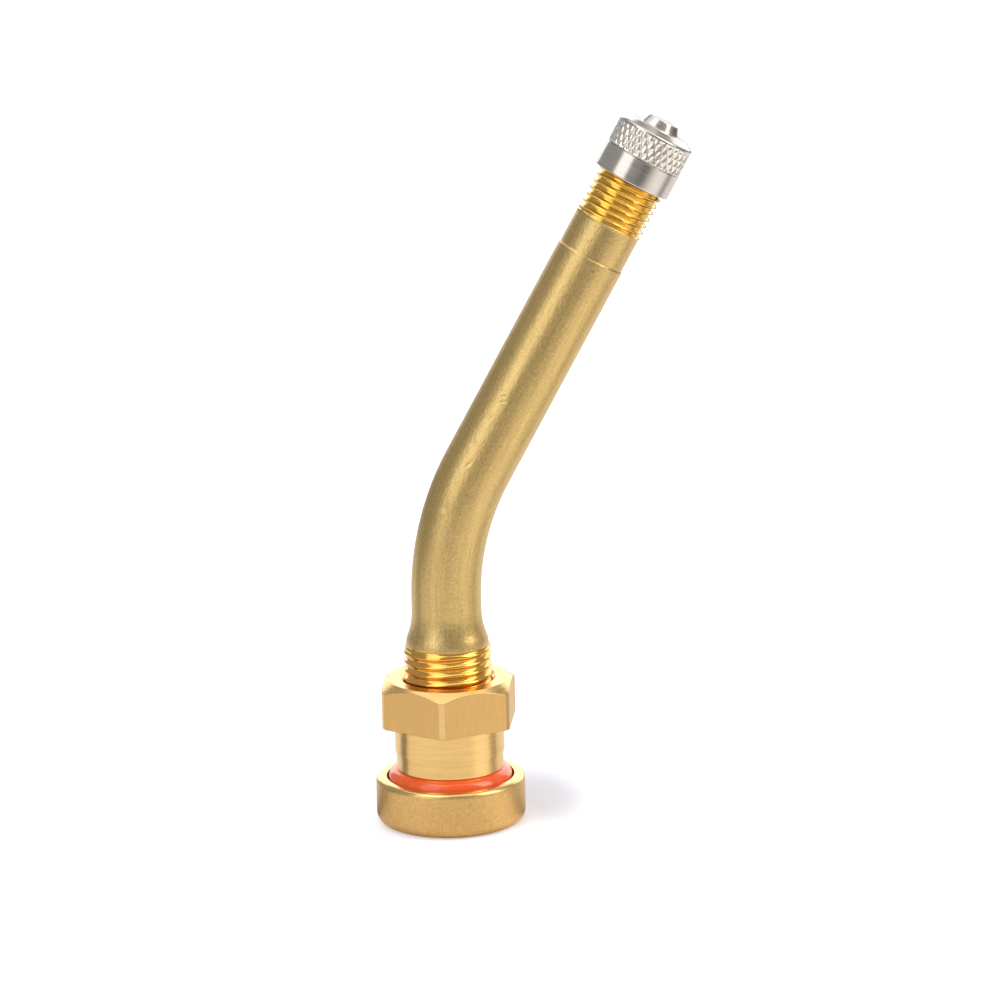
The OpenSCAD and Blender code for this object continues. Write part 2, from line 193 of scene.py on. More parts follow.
# How finely the skins are cut: counts, and longest steps in millimetres
FRONT = (math.radians(-160), math.radians(-40))
FRONT_COLUMNS = 94
BACK_COLUMNS = 60
ARC_STEPS = 5
BASE_ARC = 8
BASE_STEP = 0.6
RIM_ROWS = 132
TIP_ROWS = 118
FLARE_ROWS = 20
TUBE_STEP = 0.4
NICKED_STEP = 0.12
BORE_ARC = 3
BORE_STEP = 2.5
RING_SIDES = 48
RING_COLUMNS = 160
NUT_ARC = 4
NUT_CORNER_SHARES = (0, 0.5, 0.9, 1, 1.1, 1.4)
NUT_FACE_COLUMNS = 12
KNURL_COLUMNS = 16
SKIRT_STEP = 0.4
CAP_TOP_STEP = 0.3
CAP_BORE_STEP = 0.6
SPRING_STEPS = 24
WIRE_SIDES = 12

# Gaps that are left between stretches of rows, which one row of faces then bridges
RELIEF_GAP = 0.3
TUBE_GAP = 0.2
NECK_GAP = 0.3
THREAD_GAP = 0.02
TIP_GAP = 0.3
TIP_EDGE_GAP = 0.1
CAP_BORE_GAP = 0.3

WELD = 1e-8
TINY = 1e-20


def on_stem(s, r, angle):
    """The point at length s along the bent centre line, at radius r and that angle round it, in metres."""
    turn = min(max((s - BEND_Z) / BEND_R, 0.0), BEND_ANGLE)
    along = Vector((math.sin(turn), 0, math.cos(turn)))
    side = Vector((math.cos(turn), 0, -math.sin(turn)))
    centre = Vector((BEND_R * (1 - math.cos(turn)), 0, min(s, BEND_Z) + BEND_R * math.sin(turn)))
    centre += along * max(s - BEND_END, 0.0)
    return (centre + r * (math.cos(angle) * side + math.sin(angle) * Vector((0, 1, 0)))) * MM


def rounded(corners, arc_steps=ARC_STEPS):
    """An open outline of (r, s) points from corners (r, s, rounding), each rounded corner as an arc."""
    points = []
    for i, (r, s, radius) in enumerate(corners):
        if not radius or i in (0, len(corners) - 1):
            points.append((r, s))
            continue
        here = Vector((r, s))
        back = (Vector(corners[i - 1][:2]) - here).normalized()
        ahead = (Vector(corners[i + 1][:2]) - here).normalized()
        half = back.angle(ahead) / 2
        middle = here + (back + ahead).normalized() * radius / math.sin(half)
        start = here + back * radius / math.tan(half) - middle
        end = here + ahead * radius / math.tan(half) - middle
        for k in range(arc_steps + 1):
            spoke = start.lerp(end, k / arc_steps).normalized() * radius
            points.append(tuple(middle + spoke))
    return points


def with_steps(points, step):
    """The outline with its long stretches cut so that no stretch is longer than step."""
    out = [points[0]]
    for a, b in zip(points, points[1:]):
        count = max(1, math.ceil(math.dist(a, b) / step))
        for k in range(1, count + 1):
            out.append((a[0] + (b[0] - a[0]) * k / count, a[1] + (b[1] - a[1]) * k / count))
    return out


def still_rows(points, finish):
    """Rows of one finish, each with the same radius all the way round."""
    return [(lambda angle, p=p: p, finish) for p in points]


def skin(name, rows, angles, place, materials):
    """A mesh over a grid of rows and angles, closed both ways.

    Each row is a function that gives (r, s) at an angle, with its finish's place in the list of materials.
    The function place turns s, r and the angle into a point.
    """
    columns = len(angles)
    points = []
    straight = []
    faces = []
    finishes = []
    for i, (row, finish) in enumerate(rows):
        j = (i + 1) % len(rows)
        for k, angle in enumerate(angles):
            r, s = row(angle)
            points.append(place(s, r, angle))
            straight += [r * math.cos(angle) * MM, r * math.sin(angle) * MM, s * MM]
            n = (k + 1) % columns
            faces.append((i * columns + k, i * columns + n, j * columns + n, j * columns + k))
            finishes.append(finish)
    mesh = bpy.data.meshes.new(name)
    mesh.from_pydata(points, [], faces)
    mesh.polygons.foreach_set("material_index", finishes)
    mesh.attributes.new("straight", "FLOAT_VECTOR", "POINT").data.foreach_set("vector", straight)
    for material in materials:
        mesh.materials.append(material)
    work = bmesh.new()
    work.from_mesh(mesh)
    bmesh.ops.remove_doubles(work, verts=work.verts, dist=WELD)
    bmesh.ops.recalc_face_normals(work, faces=work.faces)
    work.to_mesh(mesh)
    work.free()
    mesh.polygons.foreach_set("use_smooth", [True] * len(mesh.polygons))
    even_normals(mesh)
    piece = bpy.data.objects.new(name, mesh)
    bpy.context.scene.collection.objects.link(piece)
    return piece


def even_normals(mesh):
    """Smooth normals weighted by face area, so that wide faces stay flat beside narrow roundings."""
    total = np.zeros((len(mesh.vertices), 3))
    for face in mesh.polygons:
        total[list(face.vertices)] += np.array(face.normal) * face.area
    total /= np.maximum(np.linalg.norm(total, axis=1), TINY)[:, None]
    mesh.normals_split_custom_set_from_vertices(total.tolist())


def even_angles(count):
    """That many angles, evenly spaced round a full turn."""
    return [2 * math.pi * k / count for k in range(count)]


def stem_angles():
    """Angles round the stem, close together on the side with the nicks that the photograph shows."""
    start, end = FRONT
    rest = 2 * math.pi - (end - start)
    near = [start + (end - start) * k / FRONT_COLUMNS for k in range(FRONT_COLUMNS)]
    return near + [end + rest * k / BACK_COLUMNS for k in range(BACK_COLUMNS)]


# Materials, whose noise runs even, in streaks along the stem or in streaks round it

EVEN = (1, 1, 1)
ALONG = (1, 1, 0.08)
AROUND = (0.05, 0.05, 1)
NOISE_DETAIL = 4.0
NOISE_ROUGHNESS = 0.6
NOISE_STOPS = (0.3, 0.7)
BLOTCH_SIZE = 3
BLOTCH_SHARE = 0.3
TONE_STOPS = (0.36, 0.64)
FINE_DETAIL = 2.0
ROUGH_SPREAD = 0.15
RELIEF_DETAIL = 3.0
RELIEF_ROUGHNESS = 0.7
RELIEF_STRENGTH = 0.5
RUBBER_MOTTLE = 700
RUBBER_WEAR = 2500
RUBBER_GRAIN = 6000
RUBBER_GRAIN_DEPTH = 0.02
RUBBER_GRAIN_STRENGTH = 0.15
RUBBER_COAT_ROUGHNESS = 0.07


def new_material(name):
    """A material with its shader, and helpers to add and join nodes."""
    material = bpy.data.materials.new(name)
    material.use_nodes = True
    tree = material.node_tree
    shader = tree.nodes["Principled BSDF"]

    def add(kind, **values):
        node = tree.nodes.new(kind)
        for key, value in values.items():
            if key in node.inputs:
                node.inputs[key].default_value = value
            else:
                setattr(node, key, value)
        return node

    def join(a, b):
        tree.links.new(a, b)

    return material, shader, add, join


def noise_at(add, join, scale, stretch=EVEN, detail=NOISE_DETAIL, roughness=NOISE_ROUGHNESS, straight=True):
    """Noise in cells per metre. On the skins it follows the stem's centre line as if that were straight."""
    if straight:
        place = add("ShaderNodeAttribute", attribute_name="straight").outputs["Vector"]
    else:
        place = add("ShaderNodeTexCoord").outputs["Object"]
    mapping = add("ShaderNodeMapping")
    mapping.inputs["Scale"].default_value = stretch
    cells = add("ShaderNodeTexNoise", Scale=scale, Detail=detail, Roughness=roughness)
    join(place, mapping.inputs["Vector"])
    join(mapping.outputs["Vector"], cells.inputs["Vector"])
    return cells.outputs["Fac"]


def ramp(add, join, source, places, colours):
    """A colour ramp over source, with its colours at those places."""
    node = add("ShaderNodeValToRGB")
    band = node.color_ramp
    while len(band.elements) < len(places):
        band.elements.new(0.5)
    for element, place, colour in zip(band.elements, places, colours):
        element.position = place
        element.color = (*colour, 1)
    join(source, node.inputs["Fac"])
    return node.outputs["Color"]


def grey(value):
    """A grey colour."""
    return (value, value, value)


def metal(name, colour, spread, rough, grain, bump, bump_scale, streak=EVEN, lines=None, straight=True):
    """Worn metal, its colour spread by blotches and grain, with grain in its roughness and a fine relief."""
    material, shader, add, join = new_material(name)
    shader.inputs["Metallic"].default_value = 1.0
    dark = tuple(c * (1 - spread) for c in colour)
    light = tuple(min(1.0, c * (1 + spread)) for c in colour)
    blotch = noise_at(add, join, grain / BLOTCH_SIZE, lines or streak, straight=straight)
    fine = noise_at(add, join, grain, streak, detail=FINE_DETAIL, straight=straight)
    part = add("ShaderNodeMath", operation="MULTIPLY")
    part.inputs[1].default_value = BLOTCH_SHARE
    join(blotch, part.inputs[0])
    both = add("ShaderNodeMath", operation="MULTIPLY_ADD")
    both.inputs[1].default_value = 1 - BLOTCH_SHARE
    join(fine, both.inputs[0])
    join(part.outputs["Value"], both.inputs[2])
    tone = ramp(add, join, both.outputs["Value"], TONE_STOPS, (dark, light))
    join(tone, shader.inputs["Base Color"])
    gloss = (grey(rough * (1 - ROUGH_SPREAD)), grey(rough * (1 + ROUGH_SPREAD)))
    join(ramp(add, join, fine, NOISE_STOPS, gloss), shader.inputs["Roughness"])
    relief = noise_at(add, join, bump_scale, streak, RELIEF_DETAIL, RELIEF_ROUGHNESS, straight)
    lift = add("ShaderNodeBump", Strength=RELIEF_STRENGTH, Distance=bump * MM)
    join(relief, lift.inputs["Height"])
    join(lift.outputs["Normal"], shader.inputs["Normal"])
    return material


def rubber(name, dark, light, smooth, rough, coat, straight=True):
    """Moulded rubber with faint mottling and a fine grain."""
    material, shader, add, join = new_material(name)
    shader.inputs["Coat Weight"].default_value = coat
    shader.inputs["Coat Roughness"].default_value = RUBBER_COAT_ROUGHNESS
    mottle = noise_at(add, join, RUBBER_MOTTLE, straight=straight)
    join(ramp(add, join, mottle, NOISE_STOPS, (dark, light)), shader.inputs["Base Color"])
    wear = noise_at(add, join, RUBBER_WEAR, straight=straight)
    join(ramp(add, join, wear, NOISE_STOPS, (grey(smooth), grey(rough))), shader.inputs["Roughness"])
    lift = add("ShaderNodeBump", Strength=RUBBER_GRAIN_STRENGTH, Distance=RUBBER_GRAIN_DEPTH * MM)
    join(noise_at(add, join, RUBBER_GRAIN, straight=straight), lift.inputs["Height"])
    join(lift.outputs["Normal"], shader.inputs["Normal"])
    return material


satin_brass = metal(
    "satin_brass", (0.695, 0.487, 0.19), spread=0.22, rough=0.34, grain=9000, bump=0.10, bump_scale=3200,
    streak=(1, 1, 0.8), lines=(1, 1, 0.05))
flange_brass = metal(
    "flange_brass", (0.74, 0.46, 0.17), spread=0.2, rough=0.38, grain=9000, bump=0.03, bump_scale=7000)
rim_thread_brass = metal(
    "rim_thread_brass", (0.90, 0.50, 0.11), spread=0.06, rough=0.17, grain=3000, bump=0.004, bump_scale=6000)
tip_thread_brass = metal(
    "tip_thread_brass", (0.93, 0.63, 0.19), spread=0.06, rough=0.17, grain=3000, bump=0.004, bump_scale=6000)
bore_brass = metal(
    "bore_brass", (0.62, 0.43, 0.17), spread=0.1, rough=0.4, grain=3000, bump=0.01, bump_scale=6000,
    streak=(1, 1, 3))
drawn_brass = metal(
    "drawn_brass", (0.745, 0.455, 0.168), spread=0.06, rough=0.38, grain=11000, bump=0.012, bump_scale=11000,
    streak=ALONG)
turned_brass = metal(
    "turned_brass", (0.86, 0.56, 0.22), spread=0.08, rough=0.22, grain=5500, bump=0.012, bump_scale=7000,
    streak=AROUND)
turned_nickel = metal(
    "turned_nickel", (0.63, 0.58, 0.53), spread=0.08, rough=0.2, grain=6000, bump=0.008, bump_scale=9000,
    streak=AROUND)
# the skirt's nickel plating, its colour painted much lighter on the knurl: painted light
knurled_nickel_painted_light = metal(
    "knurled_nickel_painted_light", (0.92, 0.845, 0.76), spread=0.06, rough=0.22, grain=4000, bump=0.004, bump_scale=6000)
core_brass = metal(
    "core_brass", (0.74, 0.52, 0.21), spread=0.08, rough=0.3, grain=4000, bump=0.01, bump_scale=6000,
    straight=False)
spring_steel = metal(
    "spring_steel", (0.48, 0.48, 0.49), spread=0.08, rough=0.3, grain=5000, bump=0.006, bump_scale=6000,
    straight=False)
orange_rubber = rubber(
    "orange_rubber", (0.97, 0.115, 0.012), (1.0, 0.145, 0.02), smooth=0.14, rough=0.2, coat=0.4)
black_rubber = rubber(
    "black_rubber", (0.012, 0.012, 0.013), (0.022, 0.022, 0.023), smooth=0.5, rough=0.65, coat=0.0,
    straight=False)


# Nicks on the tube

# those that show in the photograph: length from the bend's end, angle round the tube in degrees,
# half length, half width, depth and lean
SEEN_NICKS = [
    (8.5, -124, 0.28, 0.13, 0.10, 1.2),
    (7.9, -121, 0.30, 0.13, 0.10, 1.2),
    (5.6, -128, 0.45, 0.20, 0.06, 0.5),
    (2.4, -130, 0.50, 0.20, 0.07, 0.6),
    (0.2, -122, 0.40, 0.20, 0.06, 0.3),
    (-4.8, -128, 0.45, 0.22, 0.07, 0.2),
    (-4.0, -52, 0.60, 0.22, 0.12, -0.4),
    (-5.4, -50, 0.35, 0.20, 0.08, 0.2),
]
NICKED = (-6.5, 9.8)
CHANCE_NICKS = 90
NICK_LENGTHS = (0.3, 0.7)
NICK_WIDTHS = (0.25, 0.4)
NICK_DEPTHS = (0.01, 0.03)
NICK_LEANS = (-1.5, 1.5)
NICK_REACH = 2
UPSET_SHARE = 0.35
UPSET_SPREAD = 3
NICK_SEED = 7
chance = random.Random(NICK_SEED)


def chance_nick():
    """One nick somewhere on the tube."""
    place = chance.uniform(FLARE_TOP_Z - BEND_END, UPPER_RUN)
    around = chance.uniform(-180, 180)
    shape = [chance.uniform(*span) for span in (NICK_LENGTHS, NICK_WIDTHS, NICK_DEPTHS, NICK_LEANS)]
    return (place, around, *shape)


NICKS = SEEN_NICKS + [chance_nick() for _ in range(CHANCE_NICKS)]


def nicked(s, r, angle):
    """The tube's radius with its small nicks pressed in and a hair of upset metal round each."""
    deep = 0.0
    for place, around, length, width, depth, lean in NICKS:
        along = s - BEND_END - place
        if abs(along) > NICK_REACH:
            continue
        across = ((angle - math.radians(around) + math.pi) % (2 * math.pi) - math.pi) * r
        if abs(across) > NICK_REACH:
            continue
        u = (along * math.cos(lean) + across * math.sin(lean)) / length
        v = (across * math.cos(lean) - along * math.sin(lean)) / width
        far = u * u + v * v
        deep += depth * (math.exp(-far) - UPSET_SHARE * math.exp(-far / UPSET_SPREAD))
    return r - deep


# Stem, with its finishes by their place in its list of materials

FLANGE, RIM_THREAD, TUBE, BORE, TIP_THREAD, FLANGE_EDGE_AND_HIGHLIGHT = range(6)


def tooth(phase, crest, root):
    """Height of a thread form, 0 at its root and 1 at its crest, with flats as shares of the pitch."""
    x = abs(2 * (phase - math.floor(phase)) - 1)
    h = (x - root) / (1 - crest - root)
    return min(max(h, 0.0), 1.0)


def thread_row(s, r, pitch, depth, start, end, crest, root, run_in, run_out, chamfer):
    """A row of a right-hand thread, cut depth into radius r, its last crest cut back by chamfer."""
    ease = min(1.0, max(0.0, (s - start) / run_in)) * min(1.0, max(0.0, (end - s) / run_out))
    most = r - chamfer + min(chamfer, max(0.0, end - s))

    def row(angle):
        phase = (s - start) / pitch - angle / (2 * math.pi)
        return min(most, r - depth * ease * (1 - tooth(phase, crest, root))), s

    return row


def base_rows():
    """Underside, flange, groove and relief, with the flange's top land and edge in the lighter turned finish,
    partly a painted highlight.
    """
    outline = rounded([
        (AIR_R + AIR_CHAMFER, 0, 0),
        (FLANGE_R, 0, FLANGE_LOW_ROUND),
        (FLANGE_R, FLANGE_H, FLANGE_TOP_ROUND),
        (GROOVE_R, FLANGE_H, GROOVE_EDGE_ROUND),
        (GROOVE_R, GROOVE_FLOOR_Z, GROOVE_FLOOR_ROUND),
        (RELIEF_R, GROOVE_FLOOR_Z, GROOVE_FLOOR_ROUND),
        (RELIEF_R, RIM_THREAD_FOOT_Z - RELIEF_GAP, 0),
    ], BASE_ARC)
    rows = []
    for r, s in with_steps(outline, BASE_STEP):
        # the flange's top land and edge take the lighter, smoother turned finish, partly a painted highlight
        # along the edge
        on_edge = r > GROOVE_R and s > FLANGE_H - FLANGE_TOP_ROUND / 2
        rows += still_rows([(r, s)], FLANGE_EDGE_AND_HIGHLIGHT if on_edge else FLANGE)
    return rows


def rim_thread_rows():
    """The rim thread, from the relief to the flare."""
    start = RIM_THREAD_FOOT_Z
    end = RIM_THREAD_TOP_Z
    rows = []
    for k in range(RIM_ROWS + 1):
        s = start + (end - start) * k / RIM_ROWS
        row = thread_row(s, RIM_THREAD_R, RIM_PITCH, RIM_DEPTH, start, end, **RIM_FORM)
        rows.append((row, RIM_THREAD))
    return rows


def flare_rows():
    """The S-shaped flare: a rounded shoulder over the rim thread, then a hollow up to the tube."""
    step = FLARE_FOOT_R - TUBE_R
    height = FLARE_TOP_Z - RIM_THREAD_TOP_Z
    both_rounds = (height ** 2 + step ** 2) / (2 * step)
    shoulder = both_rounds * SHOULDER_SHARE
    hollow = both_rounds - shoulder
    points = []
    for k in range(1, FLARE_ROWS + 1):
        rise = height * k / FLARE_ROWS
        if rise < height * SHOULDER_SHARE:
            r = FLARE_FOOT_R - shoulder + math.sqrt(shoulder ** 2 - rise ** 2)
        else:
            r = TUBE_R + hollow - math.sqrt(hollow ** 2 - (height - rise) ** 2)
        points.append((r, RIM_THREAD_TOP_Z + rise))
    return still_rows(points, TUBE)


def tube_rows():
    """The bent tube with its nicks, cut finer where the photograph shows them."""
    low = (TUBE_R, BEND_END + NICKED[0])
    high = (TUBE_R, BEND_END + NICKED[1])
    points = with_steps([(TUBE_R, FLARE_TOP_Z + TUBE_GAP), low], TUBE_STEP)
    points += with_steps([low, high], NICKED_STEP)[1:]
    points += with_steps([high, (TUBE_R, NECK_START - NECK_GAP)], TUBE_STEP)[1:]
    return [(lambda angle, r=r, s=s: (nicked(s, r, angle), s), TUBE) for r, s in points]


def neck_rows():
    """The small step at the tube's end, and the neck."""
    step = rounded([
        (TUBE_R, NECK_START + NECK_STEP[0], 0),
        (TUBE_R, NECK_START + NECK_STEP[1], NECK_STEP_ROUND),
        (NECK_R, NECK_START + NECK_STEP[2], NECK_STEP_ROUND),
        (NECK_R, NECK_START + NECK_STEP[3], 0),
    ])
    neck = [(NECK_R, NECK_START + NECK_GAP), (NECK_R, TIP_THREAD_START - THREAD_GAP)]
    return still_rows(step + with_steps(neck, TUBE_STEP), TUBE)


def tip_thread_rows():
    """The cap thread at the tip."""
    rows = []
    for k in range(TIP_ROWS + 1):
        s = TIP_THREAD_START + (TIP_THREAD_RUN - TIP_GAP) * k / TIP_ROWS
        row = thread_row(s, TIP_THREAD_R, TIP_PITCH, TIP_DEPTH, TIP_THREAD_START, TIP, **TIP_FORM)
        rows.append((row, TIP_THREAD))
    return rows


def bore_rows():
    """The tip's end face, the core's stepped hole and the air bore down to the base."""
    outline = rounded([
        (TIP_THREAD_R - TIP_GAP, TIP - TIP_EDGE_GAP, 0),
        (TIP_THREAD_R - TIP_EDGE_W, TIP, TIP_EDGE_ROUND),
        (CORE_HOLE_R + CORE_MOUTH_CHAMFER, TIP, CORE_MOUTH_ROUND),
        (CORE_HOLE_R, TIP - CORE_MOUTH_CHAMFER, CORE_MOUTH_ROUND),
        (CORE_HOLE_R, TIP - CORE_HOLE_DEPTH, 0),
        (CORE_CHAMBER_R, TIP - CORE_HOLE_DEPTH - CORE_SEAT_H, 0),
        (CORE_CHAMBER_R, TIP - CORE_CHAMBER_DEPTH, 0),
        (AIR_R, TIP - CORE_CHAMBER_DEPTH - CORE_CHAMBER_R + AIR_R, 0),
        (AIR_R, AIR_CHAMFER, 0),
    ], BORE_ARC)
    return still_rows(with_steps(outline, BORE_STEP), BORE)


def stem():
    """The whole stem as one skin, from the base up its outside and down its bore."""
    rows = base_rows() + rim_thread_rows() + flare_rows() + tube_rows()
    rows += neck_rows() + tip_thread_rows() + bore_rows()
    finishes = [flange_brass, rim_thread_brass, satin_brass, bore_brass, tip_thread_brass, turned_brass]
    piece = skin("stem_skin", rows, stem_angles(), on_stem, finishes)
    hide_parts("valve_stem")
    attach(piece, "stem")


# O-ring

def o_ring():
    """Squeezed ring: a round section with a flat where it meets the groove and the nut."""
    flat = RING_H / 2
    points = []
    for a in even_angles(RING_SIDES):
        z = min(max(RING_SECTION / 2 * math.sin(a), -flat), flat)
        points.append((RING_MID_R + RING_SECTION / 2 * math.cos(a), GROOVE_FLOOR_Z + flat + z))
    piece = skin("o_ring_skin", still_rows(points, 0), even_angles(RING_COLUMNS), on_stem, [orange_rubber])
    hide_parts("base_o_ring")
    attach(piece, "stem")


# Collar nut, with its finishes and the corners of its outline at which they change

TURNED, DRAWN, BORED = range(3)
HEX_CORNER = 4
CHAMFER_CORNER = 6
BORE_CORNER = 9


def hexagon_r(angle):
    """Radius of the hexagon, its corners trimmed round."""
    sector = (angle - NUT_TURN + math.pi / 6) % (math.pi / 3) - math.pi / 6
    return min(NUT_ACROSS / 2 / math.cos(math.pi / 6 - abs(sector)), NUT_CORNER_R)


def nut_outline(angle):
    """The nut's closed section at that angle. Each corner but the ends is an arc of as many points."""
    r = hexagon_r(angle)
    top = COLLAR_H + HEX_H
    chamfer_z = top - (r - NUT_TOP_R) * NUT_SLOPE
    mouth_r = NUT_BORE_R + NUT_COUNTERSINK
    return rounded([
        (mouth_r, 0, 0),
        (COLLAR_FOOT_R, 0, COLLAR_FOOT_ROUND),
        (COLLAR_FOOT_R, COLLAR_FOOT_H + COLLAR_SLOPE[0], COLLAR_SLOPE_ROUND),
        (COLLAR_R, COLLAR_FOOT_H + COLLAR_SLOPE[1], COLLAR_SLOPE_ROUND),
        (COLLAR_R, COLLAR_H, HEX_LOW_ROUND),
        (r, COLLAR_H, HEX_LOW_ROUND),
        (r, chamfer_z, HEX_TOP_ROUND),
        (NUT_TOP_R, top, NUT_TOP_ROUND),
        (mouth_r, top, COUNTERSINK_ROUND),
        (NUT_BORE_R, top - NUT_COUNTERSINK, COUNTERSINK_ROUND),
        (NUT_BORE_R, NUT_COUNTERSINK, COUNTERSINK_ROUND),
        (mouth_r, 0, 0),
    ], NUT_ARC)


def nut_angles():
    """Angles round the nut, close together at the hexagon's corners."""
    trim = math.pi / 6 - math.acos(NUT_ACROSS / 2 / NUT_CORNER_R)
    near = [share * trim for share in NUT_CORNER_SHARES]
    rest = math.pi / 6 - near[-1]
    half = near + [near[-1] + rest * k / NUT_FACE_COLUMNS for k in range(1, NUT_FACE_COLUMNS + 1)]
    sector = [-a for a in reversed(half[1:-1])] + half
    return [NUT_TURN + side * math.pi / 3 + a for side in range(6) for a in sector]


def nut_finish(i):
    """Finish of the nut's row i."""
    corner = i // (NUT_ARC + 1)
    if corner >= BORE_CORNER:
        return BORED
    return DRAWN if HEX_CORNER <= corner < CHAMFER_CORNER else TURNED


def collar_nut():
    """The nut with its collar, its trimmed corners turned like the collar."""
    angles = nut_angles()
    outlines = {a: nut_outline(a) for a in angles}
    count = len(outlines[angles[0]]) - 1
    rows = [(lambda angle, i=i: outlines[angle][i], nut_finish(i)) for i in range(count)]

    def place(s, r, angle):
        return on_stem(s + NUT_Z, r, angle)

    piece = skin("nut_skin", rows, angles, place, [turned_brass, drawn_brass, bore_brass])
    for face in piece.data.polygons:
        at = math.atan2(face.center.y, face.center.x)
        if face.material_index == DRAWN and hexagon_r(at) >= NUT_CORNER_R:
            face.material_index = TURNED
    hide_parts("collar_nut")
    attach(piece, "nut")


# Cap, with its finishes

SMOOTH, KNURLED = range(2)


def knurl(s, angle):
    """Depth of the crossed grooves at height s on the cap."""
    across = 2 * math.pi * CAP_R / KNURL_COUNT
    lean = (s - KNURL_LOW) * math.tan(KNURL_ANGLE) / across
    turn = KNURL_COUNT * angle / (2 * math.pi)
    one = abs(((turn + lean) % 1.0) - 0.5) * 2
    other = abs(((turn - lean) % 1.0) - 0.5) * 2
    groove = max(1 - one, 1 - other) ** KNURL_SHARPNESS
    ease_in = min(1.0, max(0.0, (s - KNURL_LOW) / KNURL_FADE))
    ease_out = min(1.0, max(0.0, (KNURL_HIGH - s) / KNURL_FADE))
    return KNURL_DEPTH * groove * (ease_in * ease_out)


def skirt_rows():
    """The cap's mouth and its smooth skirt, up to the groove under the knurl."""
    outline = rounded([
        (CAP_BORE_R, CAP_MOUTH_H, 0),
        (CAP_BORE_R + CAP_MOUTH_W, 0, CAP_MOUTH_ROUND),
        (CAP_R, 0, SKIRT_ROUND),
        (CAP_R, SKIRT_H - BAND_GROOVE, BAND_GROOVE_ROUND),
        (CAP_R - BAND_GROOVE, SKIRT_H - BAND_GROOVE_END, BAND_GROOVE_ROUND),
        (CAP_R - BAND_GROOVE, SKIRT_H + BAND_GROOVE, 0),
    ])
    return still_rows(with_steps(outline, SKIRT_STEP), SMOOTH)


def knurl_rows():
    """The knurled band, its rows spaced so that the grooves cross on them."""
    step = 2 * math.pi * CAP_R / KNURL_COUNT / KNURL_COLUMNS / math.tan(KNURL_ANGLE)
    heights = [KNURL_LOW + step * k for k in range(int((KNURL_HIGH - KNURL_LOW) / step) + 1)]
    return [(lambda angle, s=s: (CAP_R - knurl(s, angle), s), KNURLED) for s in heights]


def crown_rows():
    """The cap's chamfer and nub, then its roof and bore inside."""
    outline = rounded([
        (CAP_R - BAND_TAPER, KNURL_HIGH + BAND_TAPER, 0),
        (CAP_R - 2 * BAND_TAPER, CAP_H - CAP_CHAMFER_H, CAP_SHOULDER_ROUND),
        (CAP_R - CAP_CHAMFER_W, CAP_H, CAP_CROWN_ROUND),
        (NUB_FOOT_R, CAP_H, NUB_FOOT_ROUND),
        (NUB_TOP_R, CAP_H + NUB_H, NUB_TOP_ROUND),
        (0, CAP_H + NUB_H, 0),
    ])
    roof = [
        (0, CAP_ROOF_Z),
        (CAP_BORE_R - ROOF_CHAMFER, CAP_ROOF_Z),
        (CAP_BORE_R, CAP_ROOF_Z - ROOF_CHAMFER),
    ]
    bore = with_steps([(CAP_BORE_R, CAP_ROOF_Z - CAP_BORE_GAP), (CAP_BORE_R, CAP_BORE_GAP)], CAP_BORE_STEP)
    return still_rows(with_steps(outline, CAP_TOP_STEP) + roof + bore, SMOOTH)


def cap():
    """The dust cap as one skin, from its mouth up the outside and down its bore."""
    rows = skirt_rows() + knurl_rows() + crown_rows()
    angles = even_angles(KNURL_COUNT * KNURL_COLUMNS)

    def place(s, r, angle):
        return on_stem(CAP_FOOT + s, r, angle)

    piece = skin("cap_skin", rows, angles, place, [turned_nickel, knurled_nickel_painted_light])
    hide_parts("valve_cap")
    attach(piece, "cap")


# Core spring

def spring_rise(turn):
    """Height of the wire at that turn, with one closed turn at each end."""
    height = SPRING_FLOOR - SPRING_ROOF - WIRE
    opened = (height - 2 * CLOSED_TURN) / (SPRING_TURNS - 2)
    if turn < 1:
        return turn * CLOSED_TURN
    if turn > SPRING_TURNS - 1:
        return height - (SPRING_TURNS - turn) * CLOSED_TURN
    return CLOSED_TURN + (turn - 1) * opened


def core_spring():
    """The spring under the pin's collar, at one fixed length; it does not shorten as the pin goes in."""
    points = []
    steps = SPRING_TURNS * SPRING_STEPS
    for step in range(steps + 1):
        turn = step / SPRING_STEPS
        s = TIP - SPRING_FLOOR + WIRE / 2 + spring_rise(turn)
        for a in even_angles(WIRE_SIDES):
            r = SPRING_R + WIRE / 2 * math.cos(a)
            points.append(on_stem(s + WIRE / 2 * math.sin(a), r, 2 * math.pi * turn))
    last = steps * WIRE_SIDES
    faces = [tuple(range(WIRE_SIDES)), tuple(last + side for side in reversed(range(WIRE_SIDES)))]
    for step in range(steps):
        low = step * WIRE_SIDES
        high = low + WIRE_SIDES
        for side in range(WIRE_SIDES):
            after = (side + 1) % WIRE_SIDES
            faces.append((low + side, high + side, high + after, low + after))
    mesh = bpy.data.meshes.new("core_spring_wire")
    mesh.from_pydata(points, [], faces)
    mesh.polygons.foreach_set("use_smooth", [len(face) == 4 for face in faces])
    mesh.materials.append(spring_steel)
    piece = bpy.data.objects.new("core_spring_wire", mesh)
    bpy.context.scene.collection.objects.link(piece)
    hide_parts("core_spring")
    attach(piece, "stem")
    foot = on_stem(TIP - SPRING_FLOOR, 0, 0)
    along = (on_stem(TIP, 0, 0) - foot).normalized()
    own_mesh(piece)


stem()
o_ring()
collar_nut()
cap()
core_spring()

# The other inner pieces keep their solids
INNER = {
    "cap_gasket": black_rubber,
    "core_plug": core_brass,
    "core_barrel": core_brass,
    "core_barrel_gasket": black_rubber,
    "core_pin": core_brass,
    "core_cup": core_brass,
    "core_cup_seal": black_rubber,
}
for node, material in INNER.items():
    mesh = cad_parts[node].data
    mesh.materials.clear()
    mesh.materials.append(material)


